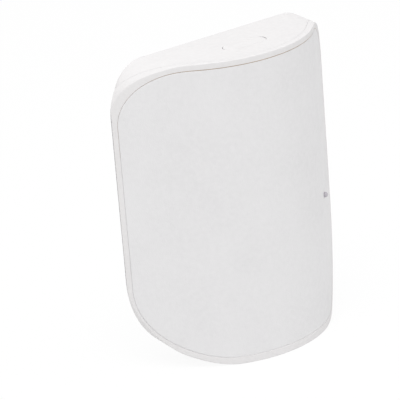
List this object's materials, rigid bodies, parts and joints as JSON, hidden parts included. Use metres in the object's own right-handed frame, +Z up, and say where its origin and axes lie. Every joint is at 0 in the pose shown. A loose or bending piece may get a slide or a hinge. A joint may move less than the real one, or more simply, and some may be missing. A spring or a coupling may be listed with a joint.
{
  "type": "wireless motion detector",
  "caption": "Wall-hung wireless infrared motion detector: a D-shaped case with a curved lens window, a push button in its top face, batteries inside and a hook-on bracket.",
  "frame": {"origin": "below the middle of the whole width and depth, at the level of the case's foot", "axes": "+X to the viewer's right when the window faces them, -Y out of the window, +Z up"},
  "size_m": [0.088, 0.032, 0.101],
  "materials": {
    "body_plastic": "fine matt texture, as moulded",
    "window_plastic": "smooth matt, lets infrared through",
    "button_plastic": "fine matt texture, as moulded",
    "cell_wrap": "satin printed film over steel",
    "contact_steel": "bright nickel plate",
    "plated_steel": "satin tin plate",
    "board_laminate": "solder mask, half gloss",
    "filter_glass": "dark infrared filter, polished",
    "boot_rubber": "matt",
    "clear_plastic": "clear, polished ends",
    "dark_plastic": "matt moulding",
    "part_ceramic": "sintered, matt",
    "plunger_plastic": "satin"
  },
  "bodies": {
    "detector": {"front_bezel": "body_plastic", "front_window": "window_plastic", "rear_housing": "body_plastic", "battery_door": "body_plastic", "battery_cell_lower": "cell_wrap", "battery_cell_upper": "cell_wrap", "minus_contacts": "contact_steel", "plus_contacts": "contact_steel", "circuit_board": "board_laminate", "board_screws": "plated_steel", "pyro_sensor": "plated_steel", "pyro_filter": "filter_glass", "sensor_boot": "boot_rubber", "light_guide": "clear_plastic", "light_sensor": "dark_plastic", "radio_shield": "plated_steel", "control_chip": "dark_plastic", "antenna_strip": "plated_steel", "board_capacitors": "part_ceramic", "tact_switch": "dark_plastic", "tamper_switch": "dark_plastic", "wall_bracket": "body_plastic"},
    "push_button": {"top_button": "button_plastic", "switch_plunger": "plunger_plastic"},
    "tamper_pin": {"tamper_pin": "plunger_plastic"}
  },
  "joints": [
    {"name": "button_press", "type": "slide", "parent": "detector", "child": "push_button", "axis": [0, 0, -1], "range_m": [0, 0.0006], "stiffness_N_per_m": 600},
    {"name": "tamper_press", "type": "slide", "parent": "detector", "child": "tamper_pin", "axis": [0, -1, 0], "range_m": [0, 0.0008], "stiffness_N_per_m": 400}
  ]
}
